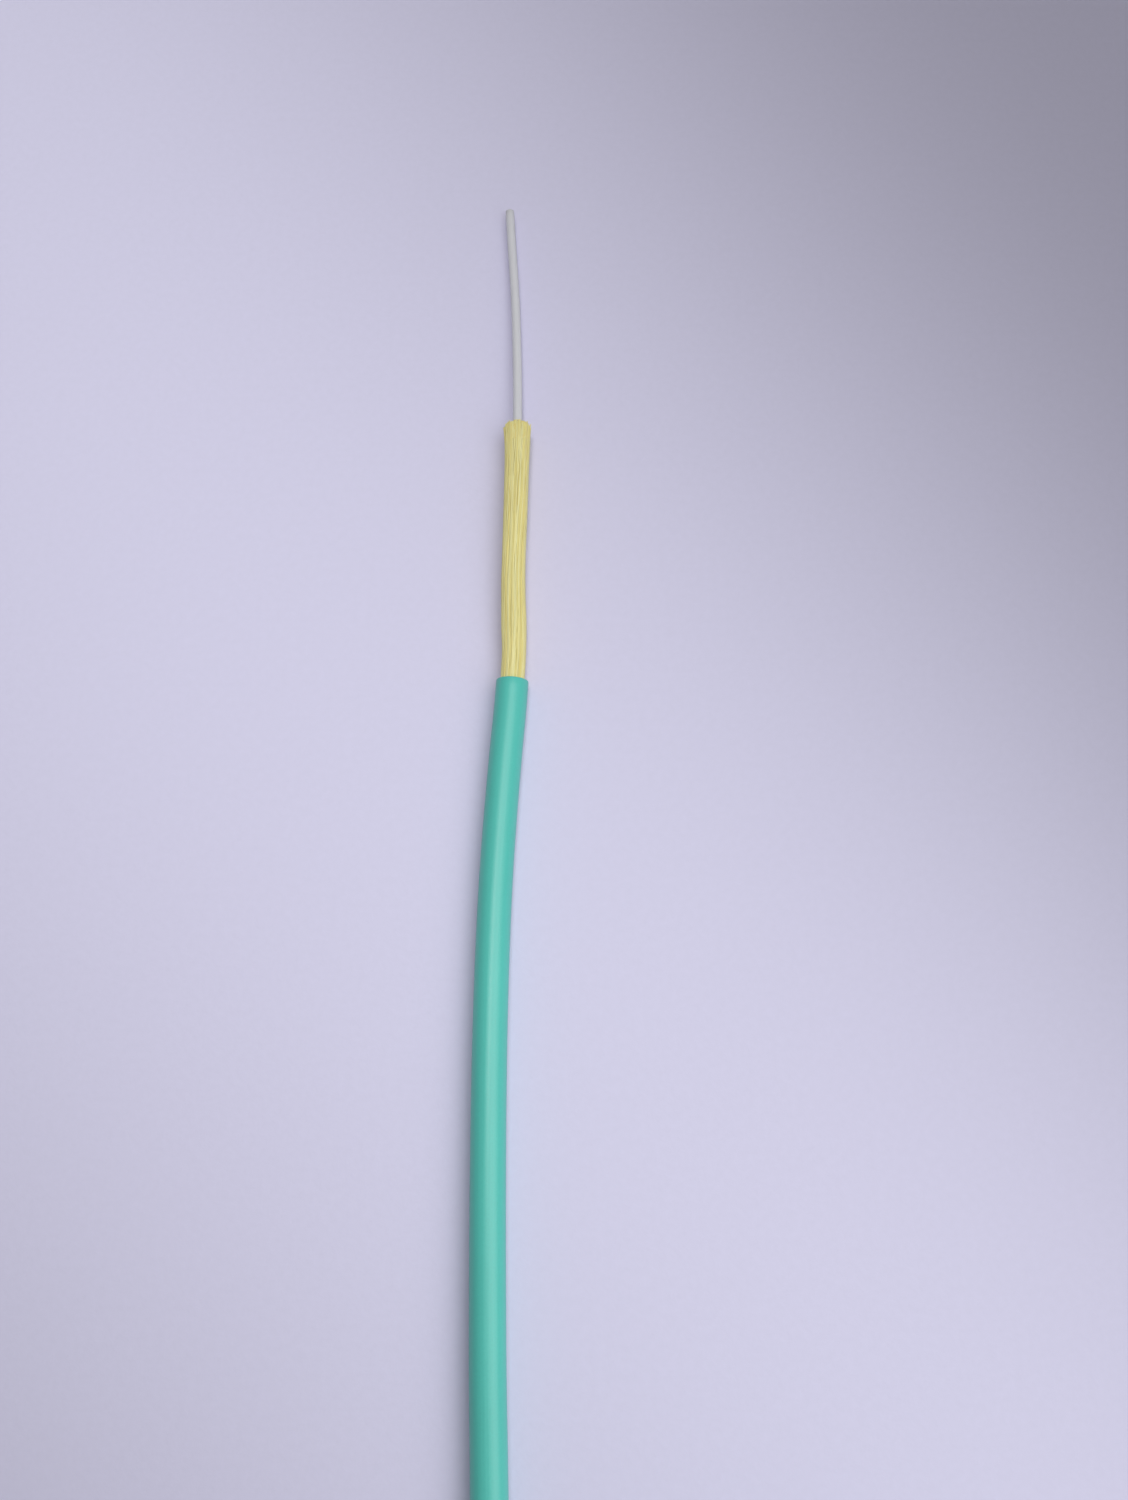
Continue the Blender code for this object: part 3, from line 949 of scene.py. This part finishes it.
def twist_tie(name, degrees, node, material):
    """A tie pulled tight round the turns, with its two ends twisted together."""
    toward = math.radians(degrees)
    outward = Vector((math.cos(toward), math.sin(toward), 0))
    sideways = Vector((-outward.y, outward.x, 0))
    loop = tight_loop(strands_at(degrees), JACKET_R + TIE_WIRE / 2)
    verts, faces = tie_band(loop, outward, sideways)
    middle = (INNER_TURN + OUTER_TURN) / 2
    top = max(height for _, height in loop)
    root = coil_middle + outward * middle + Vector((0, 0, top))
    for side in (0, math.pi):
        base = len(verts)
        tail_verts, tail_faces = tie_tail(root, outward, sideways, side)
        verts += tail_verts
        faces += [tuple(base + i for i in face) for face in tail_faces]
    tie = finished_mesh(name, verts, faces, material, crease=TIE_CREASE)
    return keep(tie, "tie", node)


coating = tie_coating()
ties = [
    twist_tie(f"twist_tie_{number}", degrees, f"coil_tie_{number}", coating)
    for number, degrees in enumerate(TIE_ANGLES, 1)
]

[axis_at(s) for s in spaced(0, FAR_END, 1 * MM)]


# Floor
FLOOR_SIZE = 1.6
FLOOR_DROP = 0.02 * MM
bpy.ops.mesh.primitive_plane_add(size=FLOOR_SIZE, location=(0, 0, -FLOOR_DROP))
floor = bpy.context.active_object
floor.name = "floor"
floor.data.materials.append(pale_floor())

# Light: a long strip held low across the cable, a narrow panel high above it and an even pale fill
STRIP_ENDS = (Vector((-0.2408, 0.4279, 0.2746)), Vector((0.1166, -0.1481, 0.0606)))
STRIP_AIM = Vector((-0.1680, 0.1365, 0.0))
STRIP_WIDTH = 0.0951
STRIP_SPREAD = math.radians(107.1)
STRIP_POWER = 0.2259
PANEL_MIDDLE = Vector((-0.0094, 0.1184, 0.8848))
PANEL_AIM = Vector((0.0315, 0.1160, 0.0))
PANEL_SIDE = 0.3677
PANEL_SPREAD = math.radians(15.1)
PANEL_POWER = 0.0938
FILL = 0.1958
FILL_TINT = (1.0, 0.98, 0.97)


def soft_light(name, middle, aim, along, size, spread, power):
    """A rectangular light that faces its aim, with its first side along the given direction."""
    lamp = bpy.data.lights.new(name, "AREA")
    lamp.energy = power
    lamp.shape = "RECTANGLE"
    lamp.size, lamp.size_y = size
    lamp.spread = spread
    back = (middle - aim).normalized()
    lengthways = (along - back * along.dot(back)).normalized()
    turned = Matrix((lengthways, back.cross(lengthways), back)).transposed()
    light = bpy.data.objects.new(name, lamp)
    light.matrix_world = Matrix.Translation(strip_point + middle) @ turned.to_4x4()
    light.visible_camera = False
    bpy.context.scene.collection.objects.link(light)


far, near = STRIP_ENDS
soft_light(
    "strip_light",
    middle=(far + near) / 2,
    aim=STRIP_AIM,
    along=near - far,
    size=((near - far).length, STRIP_WIDTH),
    spread=STRIP_SPREAD,
    power=STRIP_POWER,
)
soft_light(
    "overhead_panel",
    middle=PANEL_MIDDLE,
    aim=PANEL_AIM,
    along=Vector((0, 1, 0)),
    size=(PANEL_SIDE, PANEL_SIDE),
    spread=PANEL_SPREAD,
    power=PANEL_POWER,
)
world = bpy.data.worlds.new("pale_fill")
world.use_nodes = True
fill = world.node_tree.nodes["Background"].inputs
fill["Color"].default_value = (*FILL_TINT, 1)
fill["Strength"].default_value = FILL
bpy.context.scene.world = world
bpy.context.scene.view_settings.view_transform = "Standard"
